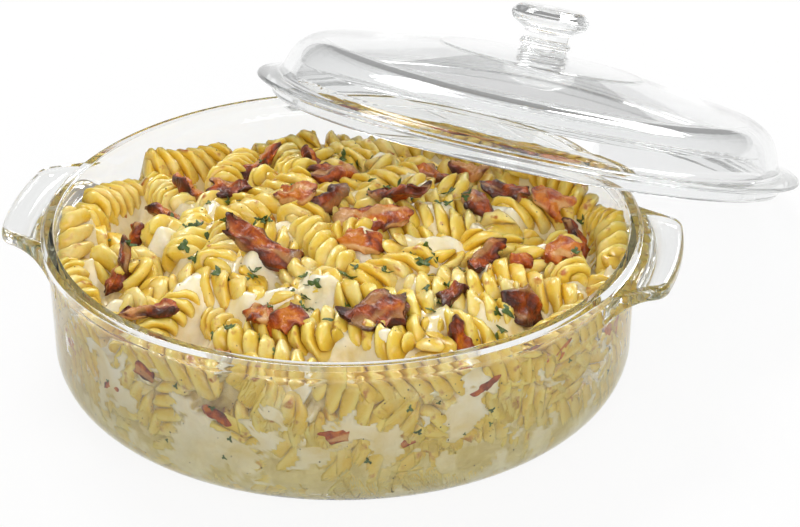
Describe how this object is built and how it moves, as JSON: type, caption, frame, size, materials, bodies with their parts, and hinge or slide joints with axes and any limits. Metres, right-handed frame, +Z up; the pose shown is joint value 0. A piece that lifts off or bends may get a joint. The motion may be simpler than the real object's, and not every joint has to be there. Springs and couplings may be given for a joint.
{
  "type": "covered casserole dish",
  "caption": "Round clear glass casserole dish with tab handles and a leaning domed glass lid, holding a pasta bake.",
  "frame": {"origin": "centre of the dish's flat base, on the table", "axes": "+Z up along the dish's axis, +X through the middle of one tab handle"},
  "size_m": [0.3029, 0.3601, 0.1009],
  "materials": {
    "dish_glass": "polished pressed glass",
    "lid_glass": "polished pressed glass",
    "pasta": "moist, glossy"
  },
  "bodies": {
    "dish": {"dish": "dish_glass", "pasta_bake": "pasta"},
    "lid": {"lid": "lid_glass"}
  },
  "joints": [
    {"name": "lid_lift", "type": "slide", "parent": "dish", "child": "lid", "axis": [0, 0, 1], "range_m": [0, 0.2]}
  ]
}
